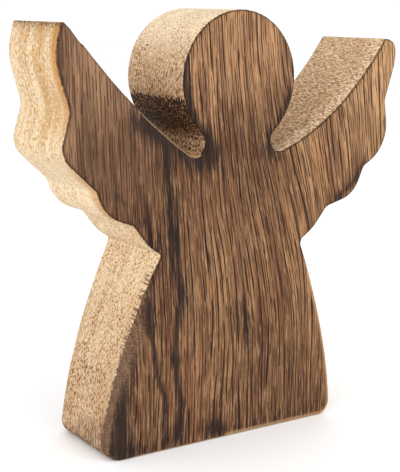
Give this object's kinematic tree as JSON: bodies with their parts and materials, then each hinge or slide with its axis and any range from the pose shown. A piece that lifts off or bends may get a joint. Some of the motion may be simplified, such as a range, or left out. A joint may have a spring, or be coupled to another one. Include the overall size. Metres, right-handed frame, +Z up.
{
  "type": "wooden angel statue",
  "caption": "Standing angel sawn from one thick plank: round head, raised scalloped wings and a flared robe, front and back torched dark.",
  "frame": {"origin": "middle of the hem's underside, on the surface the figure stands on", "axes": "+Z up the figure, +X to its left wing's tip as it faces -Y, +Y out of its back"},
  "size_m": [0.1408, 0.036, 0.1499],
  "materials": {
    "torched_wood": "hand sanded, satin; front and back stained by the torch, sawn sides pale"
  },
  "bodies": {
    "root": {"wooden_angel": "torched_wood"}
  },
  "joints": []
}
